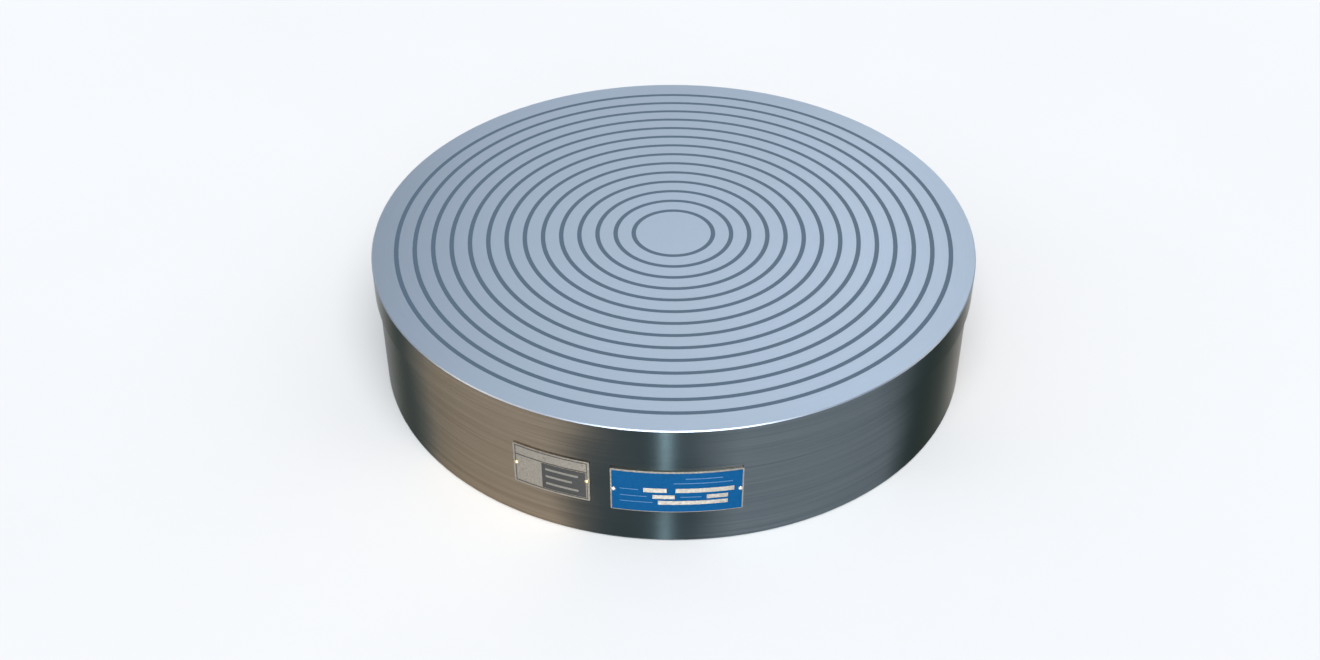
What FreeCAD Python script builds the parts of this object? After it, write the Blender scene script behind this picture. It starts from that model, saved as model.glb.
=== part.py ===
"""A round electromagnetic chuck with ring poles, 400 mm across and 90 mm tall.

The frame is +Z up, with the origin on the middle of the underside. The front, where the two
name plates sit, faces -Y. All sizes are in millimetres.

The chuck is a stack. On top is the face plate: steel pole rings, one inside the other, with a
narrow non-magnetic ring let in between each two. Below it is the body, a steel disc with ring
grooves turned into it. Each groove holds one coil, and the lands left between the grooves are
the cores. A land stands under every other pole, so neighbouring lands are north and south, and
the pole between them bridges the coil. Screws from the underside pull the face plate down on
the lands. The coil leads drop through the groove floors into one cross bore, which ends in a
terminal chamber behind a cover in the middle of the underside.
"""
import FreeCAD
import Part
import math
import os
from FreeCAD import Vector

# --- Face plate -------------------------------------------------------------------------------
PLATE_RADIUS = 200.0
PLATE_THICKNESS = 21.0
PLATE_CHAMFER = 0.6
CENTRE_POLE_RADIUS = 25.0
POLE_PITCH = 12.1
SEPARATOR_WIDTH = 3.0
LEAST_RIM_WIDTH = 14.0

# --- Body -------------------------------------------------------------------------------------
BODY_HEIGHT = 69.0
PLATE_OVERHANG = 2.0
BODY_CHAMFER = 1.0
WEB_THICKNESS = 28.0

# --- Seal between the face plate and the body's outer wall ------------------------------------
SEAL_WIDTH = 2.2
SEAL_DEPTH = 1.5
SEAL_INSET = 0.8

# --- Screws that hold the face plate, socket heads in counterbores from below -----------------
RIM_SCREW_COUNT = 8
RIM_SCREW_INSET = 6.0
POLE_SCREW_COUNT = 6
POLE_SCREW_LAND = 4
PLATE_SCREW_RADIUS = 2.5
PLATE_SCREW_ENGAGEMENT = 12.0
CENTRE_SCREW_RADIUS = 4.0
CENTRE_SCREW_ENGAGEMENT = 13.0
SCREW_HOLE_CLEARANCE = 0.25
SCREW_HEAD_CLEARANCE = 0.35
SCREW_SEAT_DEPTH = 12.0
CENTRE_SCREW_SEAT_DEPTH = 9.5
THREAD_RUNOUT = 2.0

# --- Mounting interfaces in the underside and sides -------------------------------------------
REGISTER_RADIUS = 60.0
REGISTER_DEPTH = 5.0
MOUNT_HOLE_COUNT = 6
MOUNT_CIRCLE_RADIUS = 150.0
MOUNT_HOLE_RADIUS = 5.1
MOUNT_HOLE_FLOOR = 3.45
LIFTING_HOLE_RADIUS = 4.25
LIFTING_HOLE_FLOOR = 2.2
LIFTING_HOLE_HEIGHT = 50.0

# --- Terminal chamber, its cover and its gasket -----------------------------------------------
CHAMBER_RADIUS = 36.0
CHAMBER_HEIGHT = 9.5
COVER_LEDGE = 10.0
COVER_THICKNESS = 3.0
COVER_SINK = 2.0
COVER_SIDE_GAP = 0.2
GASKET_THICKNESS = 1.0
COVER_SCREW_COUNT = 4
COVER_SCREW_RADIUS = 2.0
COVER_SCREW_HEAD_RADIUS = 3.8
COVER_SCREW_BITE = 6.0

# --- Cable outlet in the cover ----------------------------------------------------------------
OUTLET_BORE_RADIUS = 4.5
GROMMET_WALL = 2.5
GROMMET_FLANGE = 2.5
GROMMET_LIP = 1.5

# --- Terminal block ---------------------------------------------------------------------------
BLOCK_WIDTH = 44.0
BLOCK_DEPTH = 16.0
BLOCK_HEIGHT = 8.0
BLOCK_WALL_GAP = 1.2
BLOCK_CORNER = 1.5
BARRIER_WIDTH = 2.0
BARRIER_HEIGHT = 2.0
TERMINAL_SPACING = 17.0
TERMINAL_RADIUS = 2.0
TERMINAL_HEAD_RADIUS = 3.4
TERMINAL_HEAD_HEIGHT = 1.8
TERMINAL_LENGTH = 5.0
BLOCK_SCREW_SPACING = 36.0
BLOCK_SCREW_RADIUS = 1.5
BLOCK_SCREW_HEAD_RADIUS = 2.75
BLOCK_SCREW_HEAD_HEIGHT = 1.6
BLOCK_SCREW_BITE = 5.0
EARTH_SCREW_RADIUS = 2.0
EARTH_SCREW_HEAD_RADIUS = 3.6
EARTH_SCREW_HEAD_HEIGHT = 2.2
EARTH_WASHER_RADIUS = 4.5
EARTH_WASHER_THICKNESS = 0.8
EARTH_SCREW_BITE = 5.0
EARTH_SCREW_CIRCLE = 26.0
EARTH_SCREW_TURN = 150.0

# --- Coil leads and the cross bore that they run in -------------------------------------------
CROSS_BORE_RADIUS = 4.0
CROSS_BORE_PLUG_RADIUS = 5.0
PLUG_LENGTH = 9.0
PLUG_SINK = 1.0
PLUG_SOCKET = 5.0
LEAD_RADIUS = 1.4
LEAD_HOLE_RADIUS = 2.2
LOOM_RADIUS = 2.6
LOOM_OVERHANG = 6.0
WIRE_RADIUS = 1.0
WIRE_BEND = 6.0
WIRE_STRAIGHT = 9.0
LIE_GAP = 0.2

# --- Name plates and their drive rivets -------------------------------------------------------
PLATE_HEIGHT_ON_SIDE = 41.5
NAME_PLATE_WIDTH = 79.5
NAME_PLATE_HEIGHT = 32.5
NAME_PLATE_THICKNESS = 1.2
NAME_PLATE_TURN = 0.9
SIDE_PLATE_WIDTH = 50.0
SIDE_PLATE_HEIGHT = 31.0
SIDE_PLATE_THICKNESS = 0.8
SIDE_PLATE_TURN = -21.4
SIDE_PLATE_RAISE = 1.8
PLATE_CORNER = 0.8
RIVET_INSET = 1.8
RIVET_HEAD_RADIUS = 1.5
RIVET_HEAD_HEIGHT = 0.9
RIVET_RADIUS = 0.9
RIVET_DEPTH = 5.0

# --- Worked out from the sizes above ----------------------------------------------------------
UP = Vector(0, 0, 1)
AXIS = Vector(0, 0, 0)
REACH = 2 * PLATE_RADIUS
POLE_WIDTH = POLE_PITCH - SEPARATOR_WIDTH
COIL_COUNT = int((PLATE_RADIUS - LEAST_RIM_WIDTH - CENTRE_POLE_RADIUS - SEPARATOR_WIDTH + POLE_PITCH)
                 // (2 * POLE_PITCH))
SEPARATOR_COUNT = 2 * COIL_COUNT
BODY_RADIUS = PLATE_RADIUS - PLATE_OVERHANG
CHUCK_HEIGHT = BODY_HEIGHT + PLATE_THICKNESS
COVER_LOW = REGISTER_DEPTH + COVER_SINK
COVER_HIGH = COVER_LOW + COVER_THICKNESS
LEDGE_HEIGHT = COVER_HIGH + GASKET_THICKNESS
CHAMBER_TOP = LEDGE_HEIGHT + CHAMBER_HEIGHT
CROSS_BORE_HEIGHT = LEDGE_HEIGHT + CHAMBER_HEIGHT / 2
COVER_RADIUS = CHAMBER_RADIUS + COVER_LEDGE
COVER_SCREW_CIRCLE = CHAMBER_RADIUS + COVER_LEDGE / 2
BLOCK_LOW = CHAMBER_TOP - BLOCK_HEIGHT
BLOCK_OFFSET = math.sqrt((CHAMBER_RADIUS - BLOCK_WALL_GAP) ** 2 - (BLOCK_WIDTH / 2) ** 2) - BLOCK_DEPTH / 2
BLOCK_SCREW_X = (-BLOCK_SCREW_SPACING / 2, BLOCK_SCREW_SPACING / 2)
TERMINAL_X = (-TERMINAL_SPACING / 2, TERMINAL_SPACING / 2)


def separator_inner(index):
    """Inner radius of a separator, counted from 0 at the centre pole."""
    return CENTRE_POLE_RADIUS + index * POLE_PITCH


def separator_outer(index):
    return separator_inner(index) + SEPARATOR_WIDTH


RIM_INNER_RADIUS = separator_outer(SEPARATOR_COUNT - 1)
RIM_SCREW_CIRCLE = BODY_RADIUS - RIM_SCREW_INSET
POLE_SCREW_POLE = min(2 * POLE_SCREW_LAND, SEPARATOR_COUNT - 2)
POLE_SCREW_CIRCLE = separator_outer(POLE_SCREW_POLE - 1) + POLE_WIDTH / 2
LIFTING_HOLE_DEPTH = BODY_RADIUS - RIM_INNER_RADIUS - LIFTING_HOLE_FLOOR


def coil_walls(index):
    """Inner and outer radius of a coil groove, which reaches from land to land under two separators."""
    return separator_inner(2 * index), separator_outer(2 * index + 1)


# --- Helpers ----------------------------------------------------------------------------------
def turned(outline):
    """A solid turned about Z from (radius, height) points."""
    wire = Part.makePolygon([Vector(r, 0, z) for r, z in outline + outline[:1]])
    return Part.Face(wire).revolve(AXIS, UP, 360)


def ring(inner, outer, low, high):
    return turned([(inner, low), (outer, low), (outer, high), (inner, high)])


def rod(radius, low, high, x=0.0, y=0.0):
    """An upright cylinder between two heights."""
    return Part.makeCylinder(radius, high - low, Vector(x, y, low), UP)


def around(shape, count, first=0.0):
    """Copies of a shape at equal steps about Z."""
    copies = []
    for i in range(count):
        copy = shape.copy()
        copy.rotate(AXIS, UP, first + i * 360.0 / count)
        copies.append(copy)
    return copies


def clear_of_bore(shape, count):
    """Copies at equal steps about Z, with the cross bore along +Y midway between two of them."""
    return around(shape, count, 90 + 180.0 / count)


def hexagon(across_flats, low, high):
    """An upright hexagonal prism on the Z axis."""
    corner = across_flats / math.sqrt(3)
    points = [Vector(corner * math.cos(math.radians(60 * i)), corner * math.sin(math.radians(60 * i)), low)
              for i in range(7)]
    return Part.Face(Part.makePolygon(points)).extrude(UP * (high - low))


def moved(shape, x=0.0, y=0.0, z=0.0):
    copy = shape.copy()
    copy.translate(Vector(x, y, z))
    return copy


# --- Fasteners --------------------------------------------------------------------------------
def head_sizes(radius):
    """Head radius, head height and key size of a socket head cap screw, by its thread radius."""
    return 1.7 * radius, 2 * radius, 1.6 * radius


def cap_screw(radius, seat, tip):
    """A socket head cap screw on the Z axis, head down, from its seat up to its tip."""
    head, height, key = head_sizes(radius)
    low = seat - height
    blank = turned([(0, low), (head, low), (head, seat), (radius, seat), (radius, tip), (0, tip)])
    return blank.cut(hexagon(key, low, seat - height / 2))


def cap_screw_hole(radius, seat, low, high):
    """What a cap screw needs cut away: a counterbore below its seat and a clearance hole above."""
    head = head_sizes(radius)[0] + SCREW_HEAD_CLEARANCE
    hole = radius + SCREW_HOLE_CLEARANCE
    return turned([(0, low), (head, low), (head, seat), (hole, seat), (hole, high), (0, high)])


def drilled_hole(radius, depth):
    """A hole drilled upwards from the Z origin, whose depth includes its pointed end."""
    return turned([(0, 0), (radius, 0), (radius, depth - radius / 2), (0, depth)])


def pan_screw(radius, head, head_height, seat, tip):
    """A pan head screw on the Z axis, head down, with a slot."""
    low, edge, half_slot = seat - head_height, 0.35 * head_height, 0.12 * head
    blank = turned([(0, low), (head - edge, low), (head, low + edge), (head, seat), (radius, seat),
                    (radius, tip), (0, tip)])
    slot = Part.makeBox(2 * head, 2 * half_slot, head_height / 2, Vector(-head, -half_slot, low))
    return blank.cut(slot)


# --- Face plate -------------------------------------------------------------------------------
def rim_ring():
    """The outermost pole, tapped for the rim screws."""
    blank = turned([(RIM_INNER_RADIUS, BODY_HEIGHT), (PLATE_RADIUS - PLATE_CHAMFER, BODY_HEIGHT),
                    (PLATE_RADIUS, BODY_HEIGHT + PLATE_CHAMFER), (PLATE_RADIUS, CHUCK_HEIGHT - PLATE_CHAMFER),
                    (PLATE_RADIUS - PLATE_CHAMFER, CHUCK_HEIGHT), (RIM_INNER_RADIUS, CHUCK_HEIGHT)])
    hole = rod(PLATE_SCREW_RADIUS, BODY_HEIGHT, BODY_HEIGHT + PLATE_SCREW_ENGAGEMENT + THREAD_RUNOUT)
    return blank.cut(clear_of_bore(moved(hole, RIM_SCREW_CIRCLE), RIM_SCREW_COUNT))


def pole_ring(index):
    """A pole between two separators, counted from 1 outside the centre pole."""
    blank = ring(separator_outer(index - 1), separator_inner(index), BODY_HEIGHT, CHUCK_HEIGHT)
    if index != POLE_SCREW_POLE:
        return blank
    hole = rod(PLATE_SCREW_RADIUS, BODY_HEIGHT, BODY_HEIGHT + PLATE_SCREW_ENGAGEMENT + THREAD_RUNOUT)
    return blank.cut(clear_of_bore(moved(hole, POLE_SCREW_CIRCLE), POLE_SCREW_COUNT))


def centre_pole():
    blank = rod(CENTRE_POLE_RADIUS, BODY_HEIGHT, CHUCK_HEIGHT)
    depth = CENTRE_SCREW_ENGAGEMENT + THREAD_RUNOUT
    return blank.cut(rod(CENTRE_SCREW_RADIUS, BODY_HEIGHT, BODY_HEIGHT + depth))


def separator(index):
    return ring(separator_inner(index), separator_outer(index), BODY_HEIGHT, CHUCK_HEIGHT)


# --- Body and what lies in it -----------------------------------------------------------------
def body_blank():
    """The turned body: register, cover seat and chamber below, seal groove and coil grooves above."""
    seal_inner = RIM_INNER_RADIUS + SEAL_INSET
    seal_outer = seal_inner + SEAL_WIDTH
    seal_floor = BODY_HEIGHT - SEAL_DEPTH
    outline = [(0, CHAMBER_TOP), (CHAMBER_RADIUS, CHAMBER_TOP), (CHAMBER_RADIUS, LEDGE_HEIGHT),
               (COVER_RADIUS + COVER_SIDE_GAP, LEDGE_HEIGHT), (COVER_RADIUS + COVER_SIDE_GAP, REGISTER_DEPTH),
               (REGISTER_RADIUS, REGISTER_DEPTH), (REGISTER_RADIUS, BODY_CHAMFER),
               (REGISTER_RADIUS + BODY_CHAMFER, 0), (BODY_RADIUS - BODY_CHAMFER, 0),
               (BODY_RADIUS, BODY_CHAMFER), (BODY_RADIUS, BODY_HEIGHT),
               (seal_outer, BODY_HEIGHT), (seal_outer, seal_floor),
               (seal_inner, seal_floor), (seal_inner, BODY_HEIGHT)]
    for index in reversed(range(COIL_COUNT)):
        inner, outer = coil_walls(index)
        outline += [(outer, BODY_HEIGHT), (outer, WEB_THICKNESS),
                    (inner, WEB_THICKNESS), (inner, BODY_HEIGHT)]
    outline.append((0, BODY_HEIGHT))
    return turned(outline)


def screw_holes():
    """Counterbored holes in the body for every screw that holds the face plate."""
    plain = cap_screw_hole(PLATE_SCREW_RADIUS, SCREW_SEAT_DEPTH, 0, BODY_HEIGHT)
    rim = clear_of_bore(moved(plain, RIM_SCREW_CIRCLE), RIM_SCREW_COUNT)
    inner = clear_of_bore(moved(plain, POLE_SCREW_CIRCLE), POLE_SCREW_COUNT)
    centre_seat = CHAMBER_TOP + CENTRE_SCREW_SEAT_DEPTH
    centre = cap_screw_hole(CENTRE_SCREW_RADIUS, centre_seat, CHAMBER_TOP, BODY_HEIGHT)
    return rim + inner + [centre]


def mounting_holes():
    """Tapped holes for the machine table in the underside, and for eyebolts in the two sides."""
    below = moved(drilled_hole(MOUNT_HOLE_RADIUS, WEB_THICKNESS - MOUNT_HOLE_FLOOR), MOUNT_CIRCLE_RADIUS)
    side = rod(LIFTING_HOLE_RADIUS, 0, LIFTING_HOLE_DEPTH)
    side.rotate(AXIS, Vector(0, 1, 0), -90)
    side.translate(Vector(BODY_RADIUS, 0, LIFTING_HOLE_HEIGHT))
    return clear_of_bore(below, MOUNT_HOLE_COUNT) + around(side, 2)


def wiring_holes():
    """The cross bore along +Y with its plug thread, and one lead hole up into each coil groove."""
    back = Vector(0, 1, 0)
    bore = Part.makeCylinder(CROSS_BORE_RADIUS, BODY_RADIUS, Vector(0, 0, CROSS_BORE_HEIGHT), back)
    thread_start = BODY_RADIUS - PLUG_SINK - PLUG_LENGTH
    thread = Part.makeCylinder(CROSS_BORE_PLUG_RADIUS, PLUG_SINK + PLUG_LENGTH + 1,
                               Vector(0, thread_start, CROSS_BORE_HEIGHT), back)
    drops = [rod(LEAD_HOLE_RADIUS, CROSS_BORE_HEIGHT, WEB_THICKNESS, 0, sum(coil_walls(i)) / 2)
             for i in range(COIL_COUNT)]
    return [bore, thread] + drops


def terminal_holes():
    """Tapped holes for the cover's screws in the ledge, and for the others in the chamber's ceiling."""
    cover = rod(COVER_SCREW_RADIUS, LEDGE_HEIGHT, LEDGE_HEIGHT + COVER_SCREW_BITE)
    block = rod(BLOCK_SCREW_RADIUS, CHAMBER_TOP, CHAMBER_TOP + BLOCK_SCREW_BITE)
    earth = rod(EARTH_SCREW_RADIUS, CHAMBER_TOP, CHAMBER_TOP + EARTH_SCREW_BITE, EARTH_SCREW_CIRCLE)
    return (clear_of_bore(moved(cover, COVER_SCREW_CIRCLE), COVER_SCREW_COUNT)
            + [moved(block, x, -BLOCK_OFFSET) for x in BLOCK_SCREW_X] + around(earth, 1, EARTH_SCREW_TURN))


def body():
    holes = screw_holes() + mounting_holes() + wiring_holes() + terminal_holes()
    holes += [rivet_hole(*place) for place in name_plate_rivets() + side_plate_rivets()]
    return body_blank().cut(holes)


def coil(index):
    """One winding cast in resin, which fills its groove up to the underside of the face plate."""
    inner, outer = coil_walls(index)
    return ring(inner, outer, WEB_THICKNESS, BODY_HEIGHT)


def rim_seal():
    inner = RIM_INNER_RADIUS + SEAL_INSET
    return ring(inner, inner + SEAL_WIDTH, BODY_HEIGHT - SEAL_DEPTH, BODY_HEIGHT)


def plate_screws():
    """The face plate's screws: rim, inner pole and centre."""
    plain = cap_screw(PLATE_SCREW_RADIUS, SCREW_SEAT_DEPTH, BODY_HEIGHT + PLATE_SCREW_ENGAGEMENT)
    rim = clear_of_bore(moved(plain, RIM_SCREW_CIRCLE), RIM_SCREW_COUNT)
    inner = clear_of_bore(moved(plain, POLE_SCREW_CIRCLE), POLE_SCREW_COUNT)
    centre = cap_screw(CENTRE_SCREW_RADIUS, CHAMBER_TOP + CENTRE_SCREW_SEAT_DEPTH,
                       BODY_HEIGHT + CENTRE_SCREW_ENGAGEMENT)
    return Part.makeCompound(rim), Part.makeCompound(inner), centre


# --- Terminal chamber -------------------------------------------------------------------------
def countersunk(high):
    """The outline of a countersunk screw in the cover, turned about Z, up to a height."""
    head, radius = COVER_SCREW_HEAD_RADIUS, COVER_SCREW_RADIUS
    return turned([(0, COVER_LOW), (head, COVER_LOW), (radius, COVER_LOW + head - radius),
                   (radius, high), (0, high)])


def terminal_cover():
    """The round cover in the underside, countersunk for its screws and bored for the grommet."""
    grommet = rod(OUTLET_BORE_RADIUS + GROMMET_WALL, COVER_LOW, COVER_HIGH)
    sink = countersunk(COVER_HIGH)
    sinks = clear_of_bore(moved(sink, COVER_SCREW_CIRCLE), COVER_SCREW_COUNT)
    return rod(COVER_RADIUS, COVER_LOW, COVER_HIGH).cut([grommet] + sinks)


def cover_gasket():
    """A flat rubber ring between the cover and its ledge."""
    hole = moved(rod(COVER_SCREW_RADIUS, COVER_HIGH, LEDGE_HEIGHT), COVER_SCREW_CIRCLE)
    blank = ring(CHAMBER_RADIUS, COVER_RADIUS, COVER_HIGH, LEDGE_HEIGHT)
    return blank.cut(clear_of_bore(hole, COVER_SCREW_COUNT))


def cover_screws():
    """Countersunk screws with cross slots, flush with the cover."""
    half, width, depth = 0.6 * COVER_SCREW_HEAD_RADIUS, 0.3 * COVER_SCREW_RADIUS, COVER_SCREW_RADIUS / 2
    bar = Part.makeBox(2 * half, 2 * width, depth, Vector(-half, -width, COVER_LOW))
    cross = bar.copy()
    cross.rotate(AXIS, UP, 90)
    screw = moved(countersunk(LEDGE_HEIGHT + COVER_SCREW_BITE).cut([bar, cross]), COVER_SCREW_CIRCLE)
    return Part.makeCompound(clear_of_bore(screw, COVER_SCREW_COUNT))


def outlet_grommet():
    """A rubber bush whose two lips grip the cover."""
    bore, waist = OUTLET_BORE_RADIUS, OUTLET_BORE_RADIUS + GROMMET_WALL
    lip, taper = waist + GROMMET_FLANGE, GROMMET_LIP / 2
    low, high = COVER_LOW, COVER_HIGH
    return turned([(bore, low - GROMMET_LIP), (lip - taper, low - GROMMET_LIP), (lip, low - taper),
                   (lip, low), (waist, low), (waist, high), (lip, high), (lip, high + taper),
                   (lip - taper, high + GROMMET_LIP), (bore, high + GROMMET_LIP)])


def terminal_block():
    """An insulating block on the chamber's ceiling, with a barrier between its two terminals."""
    front = -BLOCK_OFFSET - BLOCK_DEPTH / 2
    block = Part.makeBox(BLOCK_WIDTH, BLOCK_DEPTH, BLOCK_HEIGHT, Vector(-BLOCK_WIDTH / 2, front, BLOCK_LOW))
    upright = [e for e in block.Edges if abs(e.tangentAt(e.FirstParameter).z) > 0.9]
    block = block.makeFillet(BLOCK_CORNER, upright)
    barrier = Part.makeBox(BARRIER_WIDTH, BLOCK_DEPTH, BARRIER_HEIGHT,
                           Vector(-BARRIER_WIDTH / 2, front, BLOCK_LOW - BARRIER_HEIGHT))
    through = [rod(BLOCK_SCREW_RADIUS, BLOCK_LOW, CHAMBER_TOP, x, -BLOCK_OFFSET) for x in BLOCK_SCREW_X]
    blind = [rod(TERMINAL_RADIUS, BLOCK_LOW, BLOCK_LOW + TERMINAL_LENGTH, x, -BLOCK_OFFSET)
             for x in TERMINAL_X]
    return block.fuse(barrier).removeSplitter().cut(through + blind)


def block_screws():
    """The two screws that hold the terminal block to the chamber's ceiling."""
    screw = pan_screw(BLOCK_SCREW_RADIUS, BLOCK_SCREW_HEAD_RADIUS, BLOCK_SCREW_HEAD_HEIGHT, BLOCK_LOW,
                      CHAMBER_TOP + BLOCK_SCREW_BITE)
    return Part.makeCompound([moved(screw, x, -BLOCK_OFFSET) for x in BLOCK_SCREW_X])


def terminal_screws():
    """Brass terminal screws in the block."""
    screw = pan_screw(TERMINAL_RADIUS, TERMINAL_HEAD_RADIUS, TERMINAL_HEAD_HEIGHT, BLOCK_LOW,
                      BLOCK_LOW + TERMINAL_LENGTH)
    return Part.makeCompound([moved(screw, x, -BLOCK_OFFSET) for x in TERMINAL_X])


def earth_screw():
    """The earth screw in the chamber's ceiling, with a plain washer under its head."""
    seat = CHAMBER_TOP - EARTH_WASHER_THICKNESS
    screw = pan_screw(EARTH_SCREW_RADIUS, EARTH_SCREW_HEAD_RADIUS, EARTH_SCREW_HEAD_HEIGHT, seat,
                      CHAMBER_TOP + EARTH_SCREW_BITE)
    washer = ring(EARTH_SCREW_RADIUS, EARTH_WASHER_RADIUS, seat, CHAMBER_TOP)
    pair = Part.makeCompound([moved(screw, EARTH_SCREW_CIRCLE), moved(washer, EARTH_SCREW_CIRCLE)])
    return around(pair, 1, EARTH_SCREW_TURN)[0]


# --- Wiring -----------------------------------------------------------------------------------
def bent_wire(points, radius, bend):
    """A round wire along straight runs, with an arc at each inner point."""
    edges, start = [], points[0]
    for before, corner, after in zip(points, points[1:], points[2:]):
        back, onward = (before - corner).normalize(), (after - corner).normalize()
        half_angle = back.getAngle(onward) / 2
        cut = bend / math.tan(half_angle)
        first, last = corner + back * cut, corner + onward * cut
        middle = (back + onward).normalize()
        top = corner + middle * (bend / math.sin(half_angle) - bend)
        edges.append(Part.LineSegment(start, first).toShape())
        edges.append(Part.Arc(first, top, last).toShape())
        start = last
    edges.append(Part.LineSegment(start, points[-1]).toShape())
    path = Part.Wire(edges)
    section = Part.Wire(Part.Circle(points[0], points[1] - points[0], radius).toShape())
    return path.makePipeShell([section], True, True)


def lead_loom():
    """The sleeve along the cross bore, with one drop from each coil and two wires to the terminals."""
    height = CROSS_BORE_HEIGHT - CROSS_BORE_RADIUS + LOOM_RADIUS + LIE_GAP
    near, far = CHAMBER_RADIUS - LOOM_OVERHANG, sum(coil_walls(COIL_COUNT - 1)) / 2 + 2 * LEAD_RADIUS
    loom = Part.makeCylinder(LOOM_RADIUS, far - near, Vector(0, near, height), Vector(0, 1, 0))
    drops = [rod(LEAD_RADIUS, height, WEB_THICKNESS, 0, sum(coil_walls(i)) / 2) for i in range(COIL_COUNT)]
    wires = []
    for side in (-1, 1):
        start = Vector(side * LOOM_RADIUS / 2, near + 1, height)
        terminal = Vector(side * TERMINAL_SPACING / 2, BLOCK_DEPTH / 2 - BLOCK_OFFSET, height)
        wires.append(bent_wire([start, start - Vector(0, WIRE_STRAIGHT, 0),
                                terminal + Vector(0, WIRE_STRAIGHT, 0), terminal], WIRE_RADIUS, WIRE_BEND))
    return loom.fuse(drops + wires)


def cross_bore_plug():
    """The socket plug that closes the cross bore at the back of the body."""
    plug = rod(CROSS_BORE_PLUG_RADIUS, 0, PLUG_LENGTH).cut(hexagon(PLUG_SOCKET, PLUG_LENGTH / 2, PLUG_LENGTH))
    plug.rotate(AXIS, Vector(1, 0, 0), -90)
    return moved(plug, 0, BODY_RADIUS - PLUG_SINK - PLUG_LENGTH, CROSS_BORE_HEIGHT)


# --- Name plates ------------------------------------------------------------------------------
def rivet_turns(width, thickness, turn):
    """The two azimuths of a plate's rivets, in degrees from the front."""
    swing = math.degrees((width / 2 - RIVET_INSET) / (BODY_RADIUS + thickness))
    return turn - swing, turn + swing


def name_plate_rivets():
    """Azimuth and raise of each rivet of the name plate."""
    turns = rivet_turns(NAME_PLATE_WIDTH, NAME_PLATE_THICKNESS, NAME_PLATE_TURN)
    return [(turn, 0.0) for turn in turns]


def side_plate_rivets():
    """Azimuth and raise of each rivet of the side plate."""
    turns = rivet_turns(SIDE_PLATE_WIDTH, SIDE_PLATE_THICKNESS, SIDE_PLATE_TURN)
    return [(turn, SIDE_PLATE_RAISE) for turn in turns]


def to_side(shape, turn, raise_by):
    """Takes a shape made along +Z from the origin to the body's side, pointing out at that azimuth."""
    copy = shape.copy()
    copy.rotate(AXIS, Vector(1, 0, 0), 90)
    copy.translate(Vector(0, -BODY_RADIUS, PLATE_HEIGHT_ON_SIDE + raise_by))
    copy.rotate(AXIS, UP, turn)
    return copy


def rivet_hole(turn, raise_by):
    outside = NAME_PLATE_THICKNESS + SIDE_PLATE_THICKNESS
    return to_side(rod(RIVET_RADIUS, -RIVET_DEPTH, outside), turn, raise_by)


def rivets(places, thickness):
    """Drive rivets with domed heads that lie on the plate."""
    height, radius = RIVET_HEAD_HEIGHT, RIVET_HEAD_RADIUS
    top = thickness + height
    rim, crown = Vector(radius, 0, thickness), Vector(0, 0, top)
    ball = (radius ** 2 + height ** 2) / (2 * height)
    half = math.asin(radius / ball) / 2
    between = Vector(ball * math.sin(half), 0, top - ball * (1 - math.cos(half)))
    outline = [Part.Arc(rim, between, crown).toShape()]
    corners = [crown, Vector(0, 0, -RIVET_DEPTH), Vector(RIVET_RADIUS, 0, -RIVET_DEPTH),
               Vector(RIVET_RADIUS, 0, thickness), rim]
    outline += [Part.LineSegment(a, b).toShape() for a, b in zip(corners, corners[1:])]
    rivet = Part.Face(Part.Wire(outline)).revolve(AXIS, UP, 360)
    return Part.makeCompound([to_side(rivet, turn, raise_by) for turn, raise_by in places])


def curved_plate(width, height, thickness, turn, raise_by, places):
    """A thin plate bent round the body's side, with rounded corners and rivet holes."""
    shell = ring(BODY_RADIUS, BODY_RADIUS + thickness, PLATE_HEIGHT_ON_SIDE - height,
                 PLATE_HEIGHT_ON_SIDE + height)
    chord = 2 * (BODY_RADIUS + thickness) * math.sin(width / 2 / (BODY_RADIUS + thickness))
    block = Part.makeBox(chord, 2 * thickness + BODY_RADIUS / 10, height,
                         Vector(-chord / 2, -BODY_RADIUS - 2 * thickness, PLATE_HEIGHT_ON_SIDE - height / 2))
    corners = [e for e in block.Edges if abs(e.tangentAt(e.FirstParameter).y) > 0.9]
    block = block.makeFillet(PLATE_CORNER, corners)
    plate = shell.common(block)
    plate.rotate(AXIS, UP, turn)
    plate.translate(Vector(0, 0, raise_by))
    return plate.cut([rivet_hole(*place) for place in places])


def name_plate():
    return curved_plate(NAME_PLATE_WIDTH, NAME_PLATE_HEIGHT, NAME_PLATE_THICKNESS, NAME_PLATE_TURN, 0.0,
                        name_plate_rivets())


def side_plate():
    return curved_plate(SIDE_PLATE_WIDTH, SIDE_PLATE_HEIGHT, SIDE_PLATE_THICKNESS, SIDE_PLATE_TURN,
                        SIDE_PLATE_RAISE, side_plate_rivets())


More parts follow.
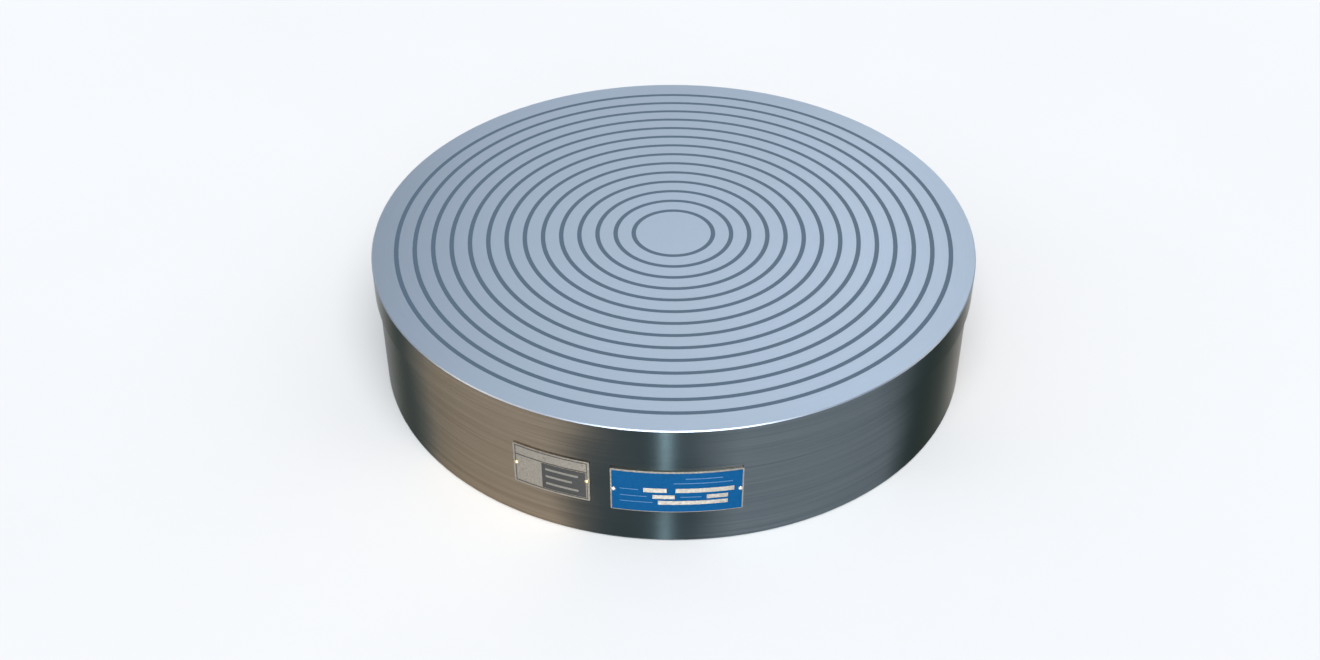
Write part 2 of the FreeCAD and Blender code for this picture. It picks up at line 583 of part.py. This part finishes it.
# --- The whole chuck --------------------------------------------------------------------------
def parts():
    """Every piece of the chuck by its node name."""
    rim_screws, pole_screws, centre_screw = plate_screws()
    made = {"body": body(), "rim_ring": rim_ring(), "centre_pole": centre_pole()}
    for i in range(1, SEPARATOR_COUNT):
        made[f"pole_ring_{i:02d}"] = pole_ring(i)
    for i in range(SEPARATOR_COUNT):
        made[f"separator_ring_{i + 1:02d}"] = separator(i)
    for i in range(COIL_COUNT):
        made[f"coil_{i + 1:02d}"] = coil(i)
    made.update({
        "rim_seal": rim_seal(), "rim_screws": rim_screws, "pole_screws": pole_screws,
        "centre_screw": centre_screw, "terminal_cover": terminal_cover(), "cover_gasket": cover_gasket(),
        "cover_screws": cover_screws(), "outlet_grommet": outlet_grommet(),
        "terminal_block": terminal_block(), "block_screws": block_screws(),
        "terminal_screws": terminal_screws(),
        "earth_screw": earth_screw(), "lead_loom": lead_loom(),
        "cross_bore_plug": cross_bore_plug(), "name_plate": name_plate(), "side_plate": side_plate(),
        "name_plate_rivets": rivets(name_plate_rivets(), NAME_PLATE_THICKNESS),
        "side_plate_rivets": rivets(side_plate_rivets(), SIDE_PLATE_THICKNESS),
    })
    return made


def main():
    os.makedirs("parts", exist_ok=True)
    for name, shape in parts().items():
        shape.exportStep(f"parts/{name}.step")


if __name__ == "__main__":
    main()
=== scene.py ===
"""The looks of a round electromagnetic chuck: a ground face with ring poles, on a turned steel body."""
import math

import bmesh
import bpy
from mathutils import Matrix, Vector


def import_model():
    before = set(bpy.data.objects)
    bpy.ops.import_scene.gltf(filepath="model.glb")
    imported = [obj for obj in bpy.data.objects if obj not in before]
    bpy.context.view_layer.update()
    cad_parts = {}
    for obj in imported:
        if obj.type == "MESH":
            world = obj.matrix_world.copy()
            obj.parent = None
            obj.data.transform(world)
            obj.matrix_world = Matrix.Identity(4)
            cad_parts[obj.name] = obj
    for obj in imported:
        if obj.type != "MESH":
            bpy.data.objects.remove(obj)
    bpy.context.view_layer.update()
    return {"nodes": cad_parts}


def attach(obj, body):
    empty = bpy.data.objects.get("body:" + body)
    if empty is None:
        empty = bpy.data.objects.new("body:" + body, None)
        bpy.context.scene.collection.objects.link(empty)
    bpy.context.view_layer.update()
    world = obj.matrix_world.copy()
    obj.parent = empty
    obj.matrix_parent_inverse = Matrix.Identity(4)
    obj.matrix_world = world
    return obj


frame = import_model()
NODES = frame["nodes"]
SEPARATORS = sorted(name for name in NODES if name.startswith("separator_ring_"))
POLES = ["centre_pole", "rim_ring"] + sorted(name for name in NODES if name.startswith("pole_ring_"))
COILS = sorted(name for name in NODES if name.startswith("coil_"))

MM = 0.001
METAL = 1.0
NOT_METAL = 0.0


# --- Materials: short calls that build their nodes ----------------------------------------------
def rgb(red, green, blue):
    return (red, green, blue, 1.0)


def grey(value):
    return rgb(value, value, value)


class Shade:
    """One material and short calls that add nodes to it."""

    def __init__(self, name, **sockets):
        self.material = bpy.data.materials.new(name)
        self.material.use_nodes = True
        self.tree = self.material.node_tree
        self.bsdf = self.tree.nodes["Principled BSDF"]
        for socket, value in sockets.items():
            self.bsdf.inputs[socket.replace("_", " ")].default_value = value

    def node(self, kind, *numbered, operation=None, **named):
        """A new node, with its first inputs given in order and others by name."""
        made = self.tree.nodes.new(kind)
        if operation:
            made.operation = operation
        for key, value in [*enumerate(numbered), *named.items()]:
            self.feed(made.inputs[key], value)
        return made

    def feed(self, socket, value):
        if isinstance(value, bpy.types.NodeSocket):
            self.tree.links.new(value, socket)
        else:
            socket.default_value = value

    def set(self, socket, value):
        self.feed(self.bsdf.inputs[socket], value)

    def math(self, operation, a, b=0.0):
        return self.node("ShaderNodeMath", a, b, operation=operation).outputs[0]

    def add(self, a, b):
        return self.math("ADD", a, b)

    def times(self, a, b):
        return self.math("MULTIPLY", a, b)

    def place(self):
        return self.node("ShaderNodeTexCoord").outputs["Object"]

    def polar(self):
        """Azimuth from the front in radians, radius and height, as sockets."""
        x, y, height = self.node("ShaderNodeSeparateXYZ", self.place()).outputs
        azimuth = self.math("ARCTAN2", x, self.times(y, -1.0))
        radius = self.math("SQRT", self.add(self.times(x, x), self.times(y, y)))
        return azimuth, radius, height

    def noise(self, vector, scale=1.0, detail=3.0):
        made = self.node("ShaderNodeTexNoise", Vector=vector, Scale=scale, Detail=detail, Roughness=0.55)
        return made.outputs[0]

    def streaks(self, azimuth, per_radian, height, per_metre, layer, detail):
        """Noise drawn out round the axis; each layer is another stretch of the same noise."""
        vector = self.node("ShaderNodeCombineXYZ", self.times(azimuth, per_radian), layer,
                           self.times(height, per_metre))
        return self.noise(vector.outputs[0], detail=detail)

    def ramp(self, value, low, high, to_low=0.0, to_high=1.0, smooth=False):
        made = self.node("ShaderNodeMapRange", value, low, high, to_low, to_high)
        if smooth:
            made.interpolation_type = "SMOOTHSTEP"
        return made.outputs[0]

    def mix(self, factor, a, b):
        made = self.tree.nodes.new("ShaderNodeMix")
        made.data_type = "RGBA"
        for colour_input, value in ((0, factor), (6, a), (7, b)):
            self.feed(made.inputs[colour_input], value)
        return made.outputs[2]

    def bump(self, height, distance, strength):
        made = self.node("ShaderNodeBump", Height=height, Distance=distance, Strength=strength)
        self.set("Normal", made.outputs[0])

    def radial_tangent(self):
        made = self.node("ShaderNodeTangent")
        made.direction_type = "RADIAL"
        made.axis = "Z"
        self.set("Tangent", made.outputs[0])


def wear(shade, *names):
    """Gives whole nodes one material."""
    for name in names:
        NODES[name].data.materials.clear()
        NODES[name].data.materials.append(shade.material)


def wear_aside(shade, name, looks_up=0.5):
    """Gives a second material to the faces of a node that don't look up."""
    mesh = NODES[name].data
    mesh.materials.append(shade.material)
    for face in mesh.polygons:
        face.material_index = 0 if face.normal.z > looks_up else 1


# --- The steel of the face and of the side ------------------------------------------------------
def ground_steel():
    """Steel from a surface grinder: a fine even grain, with the faint arcs that the wheel leaves."""
    s = Shade("ground_steel", Metallic=METAL, Roughness=0.4)
    azimuth, radius, _ = s.polar()
    place = s.place()
    grain = s.noise(place, scale=2600.0, detail=2.0)
    cloud = s.noise(place, scale=16.0, detail=4.0)
    wheel = s.node("ShaderNodeCombineXYZ", s.times(radius, 2400.0), s.times(azimuth, 5.0))
    arcs = s.noise(wheel.outputs[0])
    tone = s.add(s.times(grain, 0.5), s.times(arcs, 0.5))
    steel = s.mix(s.ramp(tone, 0.3, 0.7), rgb(0.37, 0.44, 0.53), rgb(0.45, 0.52, 0.61))
    clouded = s.mix(s.ramp(cloud, 0.35, 0.7, 0.0, 0.35), steel, rgb(0.40, 0.46, 0.52))
    s.set("Base Color", clouded)
    s.set("Roughness", s.ramp(tone, 0.25, 0.75, 0.28, 0.38))
    s.bump(tone, 0.02 * MM, 0.5)
    return s


PAINTED_REFLECTION_REPEATS = 3                     # how often the painted tan and slate reflection tones follow each other in one turn
PAINTED_TAN_REFLECTION_START = math.radians(180)        # phase of the painted tan reflection at the front
PAINTED_DARK_REFLECTION_START = math.radians(24)        # phase of the painted dark reflection at the front
PAINTED_REFLECTION_SWAY = 0.06                     # how far the edge of a painted reflection tone wanders, in radians


def turned_steel():
    """Bright turned steel: fine lines round the body, and slow slate, tan and dark tones by azimuth, which
    are painted reflections of the surroundings.
    """
    s = Shade("turned_steel", Metallic=METAL, Roughness=0.3, Anisotropic=1.0, Anisotropic_Rotation=0.25,
              Specular_Tint=rgb(0.45, 0.45, 0.42))
    azimuth, _, height = s.polar()
    drift = s.streaks(azimuth, 2.5, height, 9.0, layer=7.0, detail=1.0)
    fine = s.streaks(azimuth, 2.0, height, 2600.0, layer=0.0, detail=3.0)
    bands = s.streaks(azimuth, 0.7, height, 420.0, layer=3.0, detail=4.0)
    # The slate, tan and dark tones by azimuth are painted reflections of the surroundings; only the fine
    # lines are the steel's own turning marks.
    turn = s.add(azimuth, s.ramp(drift, 0.3, 0.7, -PAINTED_REFLECTION_SWAY, PAINTED_REFLECTION_SWAY))
    painted_tan_reflection_wave = s.math("SINE", s.add(s.times(turn, PAINTED_REFLECTION_REPEATS), PAINTED_TAN_REFLECTION_START))
    painted_dark_reflection_wave = s.math("COSINE", s.add(s.times(turn, 2 * PAINTED_REFLECTION_REPEATS), PAINTED_DARK_REFLECTION_START))
    lines = s.ramp(s.add(s.times(fine, 0.6), s.times(bands, 0.4)), 0.35, 0.65)
    slate = s.mix(lines, rgb(0.10, 0.125, 0.145), rgb(0.165, 0.19, 0.205))
    tan = s.mix(lines, rgb(0.19, 0.15, 0.11), rgb(0.31, 0.26, 0.20))
    steel = s.mix(s.ramp(painted_tan_reflection_wave, 0.0, 0.8, smooth=True), slate, tan)
    steel_with_painted_reflections = s.mix(s.ramp(painted_dark_reflection_wave, -0.2, 1.0, 0.0, 0.95, smooth=True), steel, rgb(0.03, 0.045, 0.05))
    s.set("Base Color", steel_with_painted_reflections)
    s.set("Roughness", s.ramp(s.add(fine, drift), 0.7, 1.3, 0.12, 0.20))
    s.bump(s.add(fine, s.times(bands, 1.5)), 0.02 * MM, 0.5)
    s.radial_tangent()
    return s


# --- Fillers, platings, rubber and enamel -------------------------------------------------------
def separator_filler():
    """The non-magnetic filler between two poles, ground level with them."""
    s = Shade("separator_filler", Metallic=NOT_METAL, Roughness=0.45)
    grain = s.noise(s.place(), scale=1800.0, detail=2.0)
    s.set("Base Color", s.mix(grain, rgb(0.045, 0.085, 0.13), rgb(0.085, 0.135, 0.19)))
    s.set("Roughness", s.ramp(grain, 0.3, 0.7, 0.38, 0.55))
    s.bump(grain, 0.02 * MM, 0.4)
    return s


def mottled(name, dark, light, roughness, metallic, scale=900.0):
    """A small part's surface, with fine mottling in its colour, its gloss and its height."""
    s = Shade(name, Metallic=metallic, Roughness=roughness)
    grain = s.noise(s.place(), scale)
    s.set("Base Color", s.mix(s.ramp(grain, 0.3, 0.7), dark, light))
    s.set("Roughness", s.ramp(grain, 0.3, 0.7, roughness * 0.85, roughness * 1.2))
    s.bump(grain, 0.01 * MM, 0.4)
    return s


TURNED = turned_steel()
wear(ground_steel(), *POLES)
wear(TURNED, "body")
wear_aside(TURNED, "rim_ring")
wear(separator_filler(), *SEPARATORS)
wear(mottled("black_oxide", rgb(0.012, 0.012, 0.014), rgb(0.03, 0.03, 0.033), 0.4, METAL),
     "rim_screws", "pole_screws", "centre_screw")
wear(mottled("zinc_plate", rgb(0.40, 0.42, 0.45), rgb(0.55, 0.57, 0.60), 0.32, METAL),
     "terminal_cover", "cover_screws", "block_screws", "cross_bore_plug")
wear(mottled("brass", rgb(0.50, 0.36, 0.16), rgb(0.68, 0.52, 0.27), 0.28, METAL),
     "terminal_screws", "earth_screw", "side_plate_rivets")
wear(mottled("bright_nickel", rgb(0.60, 0.56, 0.50), rgb(0.75, 0.71, 0.64), 0.22, METAL),
     "name_plate_rivets")
wear(mottled("rubber", grey(0.012), grey(0.025), 0.75, NOT_METAL),
     "rim_seal", "cover_gasket", "outlet_grommet")
wear(mottled("phenolic", rgb(0.07, 0.025, 0.012), rgb(0.11, 0.04, 0.02), 0.4, NOT_METAL),
     "terminal_block")
wear(mottled("lead_sleeve", rgb(0.25, 0.02, 0.015), rgb(0.35, 0.03, 0.02), 0.5, NOT_METAL),
     "lead_loom")
wear(mottled("coil_resin", rgb(0.16, 0.05, 0.02), rgb(0.24, 0.08, 0.03), 0.35, NOT_METAL), *COILS)
wear(mottled("plate_metal", rgb(0.27, 0.245, 0.21), rgb(0.36, 0.33, 0.285), 0.32, METAL),
     "name_plate", "side_plate")

ENAMEL = mottled("blue_enamel", rgb(0.0, 0.090, 0.255), rgb(0.0, 0.106, 0.30), 0.42, NOT_METAL, scale=500.0)
ENAMEL.set("Specular IOR Level", 0.05)
BLANK = mottled("blank_fields", rgb(0.34, 0.31, 0.27), rgb(0.44, 0.40, 0.35), 0.4, METAL)
PALE = mottled("pale_lines", rgb(0.05, 0.20, 0.44), rgb(0.08, 0.24, 0.48), 0.4, NOT_METAL)
BLACK = mottled("black_fill", rgb(0.012, 0.012, 0.011), rgb(0.03, 0.03, 0.027), 0.45, NOT_METAL)
LIGHT = mottled("light_bars", rgb(0.20, 0.19, 0.16), rgb(0.28, 0.26, 0.22), 0.45, NOT_METAL)

# --- What lies on the two plates ----------------------------------------------------------------
# Areas are (left, right, low, high) in millimetres from the middle of their plate. Each stands as
# far above the plate as it reaches below its surface.
ENAMEL_RISE = 0.12 * MM
FIELD_RISE = 1.6 * ENAMEL_RISE
BAR_RISE = 1.6 * FIELD_RISE
ARC_STEP = 2.0


def span(name):
    """Middle azimuth, middle height and outer radius of a plate that is bent round the body."""
    points = [v.co for v in NODES[name].data.vertices]
    turns = [math.atan2(p.x, -p.y) for p in points]
    heights = [p.z for p in points]
    return (min(turns) + max(turns)) / 2, (min(heights) + max(heights)) / 2, max(p.xy.length for p in points)


def add_area(mesh, area, turn, middle, radius, rise):
    """One closed curved block of a film."""
    left, right, low, high = area
    steps = max(1, round((right - left) / ARC_STEP))
    section = ((low, -rise), (low, rise), (high, rise), (high, -rise))
    rows = []
    for i in range(steps + 1):
        azimuth = turn + (left + (right - left) * i / steps) * MM / radius
        out = Vector((math.sin(azimuth), -math.cos(azimuth), 0))
        rows.append([mesh.verts.new(out * (radius + depth) + Vector((0, 0, middle + edge * MM)))
                     for edge, depth in section])
    for a, b in zip(rows, rows[1:]):
        for k in range(4):
            mesh.faces.new((a[k], b[k], b[(k + 1) % 4], a[(k + 1) % 4]))
    mesh.faces.new(rows[0])
    mesh.faces.new(rows[-1][::-1])


def film(name, plate, shade, rise, areas):
    """One piece of all the thin areas of a kind that lie on a plate."""
    mesh = bmesh.new()
    for area in areas:
        add_area(mesh, area, *span(plate), rise)
    bmesh.ops.recalc_face_normals(mesh, faces=mesh.faces)
    data = bpy.data.meshes.new(name)
    mesh.to_mesh(data)
    mesh.free()
    made = bpy.data.objects.new(name, data)
    bpy.context.collection.objects.link(made)
    data.materials.append(shade.material)
    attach(made, "root")


def name_plate():
    """Blue enamel with blank fields, and plain lines where small print usually stands."""
    top, middle, bottom = (-0.3, 3.0), (-5.3, -2.3), (-9.9, -6.9)
    top_line, middle_line, bottom_line = (1.1, 1.6), (-4.1, -3.6), (-8.7, -8.2)
    field_right, line_left = 30.3, -34.0
    film("name_plate_enamel", "name_plate", ENAMEL, ENAMEL_RISE, [(-38.9, 38.9, -15.7, 14.9)])
    film("name_plate_fields", "name_plate", BLANK, FIELD_RISE,
         [(-20.0, -6.2, *top), (-0.9, 34.0, *top), (-14.5, -1.4, *middle), (17.6, field_right, *middle),
          (-11.3, field_right, *bottom)])
    film("name_plate_lines", "name_plate", PALE, FIELD_RISE,
         [(5.0, 27.0, 10.4, 11.0), (-2.0, 33.0, 6.8, 7.4), (line_left, -23.0, *top_line),
          (line_left, -18.0, *middle_line), (2.0, 14.5, *middle_line), (line_left, -14.5, *bottom_line)])


def side_plate():
    """A ruled frame with a header, a black field and three plain bars on it."""
    x, z, rule, header = 23.6, 14.2, 0.35, 7.0
    frame_lines = [(-x, x, z - rule, z), (-x, x, -z, rule - z), (-x, rule - x, -z, z), (x - rule, x, -z, z)]
    header_line = (-x, x, header, header + rule)
    black_field = (-5.5, 22.6, -13.2, 6.2)
    bar_left, bar_low, bar_height, bar_step = -3.0, 1.6, 1.6, 5.6
    film("side_plate_lines", "side_plate", BLACK, FIELD_RISE, [*frame_lines, header_line, black_field])
    bars = []
    for i, bar_right in enumerate((18.0, 14.0, 18.0)):
        low = bar_low - i * bar_step
        bars.append((bar_left, bar_right, low, low + bar_height))
    film("side_plate_bars", "side_plate", LIGHT, BAR_RISE, bars)


name_plate()
side_plate()

# --- Camera, floor and light --------------------------------------------------------------------
CAMERA_AT = Vector((0.0, -0.8889, 0.7019))
CAMERA_YAW = math.radians(0.575)
CAMERA_DROP = math.radians(38.0)
SENSOR = 36.0
LENS = 43.94

FLOOR_HALF = 6.0
FLOOR_GAP = 0.2 * MM                 # keeps the floor clear of the base's own face

BODY_MIDDLE = (0.0, 0.0, 0.05)
LINE_HEIGHT = 0.045                  # below the face, which therefore doesn't mirror this lamp
COOL = (0.90, 0.95, 1.0)
PALE_COOL = (0.95, 0.98, 1.0)
GREENISH = (0.92, 0.98, 1.0)
TAN = (1.0, 0.80, 0.58)
WARM = (1.0, 0.80, 0.60)


def aimed(thing, at, target):
    thing.location = at
    thing.rotation_euler = (Vector(target) - Vector(at)).to_track_quat("-Z", "Y").to_euler()


def linked(name, data):
    made = bpy.data.objects.new(name, data)
    bpy.context.collection.objects.link(made)
    return made


def camera():
    data = bpy.data.cameras.new("camera")
    data.sensor_width = SENSOR
    data.lens = LENS
    made = linked("camera", data)
    level = math.cos(CAMERA_DROP)
    ahead = (-math.sin(CAMERA_YAW) * level, math.cos(CAMERA_YAW) * level, -math.sin(CAMERA_DROP))
    aimed(made, CAMERA_AT, CAMERA_AT + Vector(ahead))
    bpy.context.scene.camera = made


def floor():
    mesh = bpy.data.meshes.new("floor")
    corners = [(x * FLOOR_HALF, y * FLOOR_HALF, -FLOOR_GAP) for x, y in ((-1, -1), (1, -1), (1, 1), (-1, 1))]
    mesh.from_pydata(corners, [], [(0, 1, 2, 3)])
    made = linked("floor", mesh)
    s = Shade("floor", Roughness=0.9, Specular_IOR_Level=0.0)
    cloud = s.noise(s.place(), scale=3.0, detail=2.0)
    s.set("Base Color", s.mix(cloud, grey(0.80), grey(0.84)))
    mesh.materials.append(s.material)


def world():
    made = bpy.data.worlds.new("world")
    made.use_nodes = True
    colour, strength = made.node_tree.nodes["Background"].inputs[:2]
    colour.default_value = rgb(0.86, 0.92, 1.0)
    strength.default_value = 0.5
    bpy.context.scene.world = made


def sun(at, strength, spread):
    """A wide far lamp that lights the floor evenly."""
    data = bpy.data.lights.new("sun", "SUN")
    data.energy = strength
    data.angle = math.radians(spread)
    aimed(linked("sun", data), at, (0, 0, 0))


def lamp(name, at, target, size, power, colour):
    """A soft rectangular light that only shines in gloss: the sun and the world light the floor."""
    data = bpy.data.lights.new(name, "AREA")
    data.shape = "RECTANGLE"
    data.size, data.size_y = size
    data.energy = power
    data.color = colour
    made = linked(name, data)
    aimed(made, at, target)
    made.visible_camera = False
    made.visible_diffuse = False


camera()
floor()
world()
sun(at=(0.1, -1.0, 1.6), strength=2.62, spread=45.0)
lamp("sky", at=(0.30, 2.75, 2.9), target=BODY_MIDDLE, size=(2.2, 2.6), power=14.5, colour=COOL)
lamp("band", at=(0.52, 2.5, 1.87), target=BODY_MIDDLE, size=(0.07, 0.8), power=0.5, colour=PALE_COOL)
lamp("tan", at=(2.4, 0.1, 0.7), target=BODY_MIDDLE, size=(1.0, 0.8), power=3.5, colour=TAN)
lamp("warm", at=(-2.0, -1.0, 0.8), target=BODY_MIDDLE, size=(1.4, 1.2), power=14.0, colour=WARM)
lamp("line", at=(-0.060, -1.7, LINE_HEIGHT), target=(0, 0, LINE_HEIGHT), size=(0.02, 0.08), power=75.0,
     colour=GREENISH)

bpy.context.scene.view_settings.view_transform = "Standard"
bpy.context.view_layer.update()
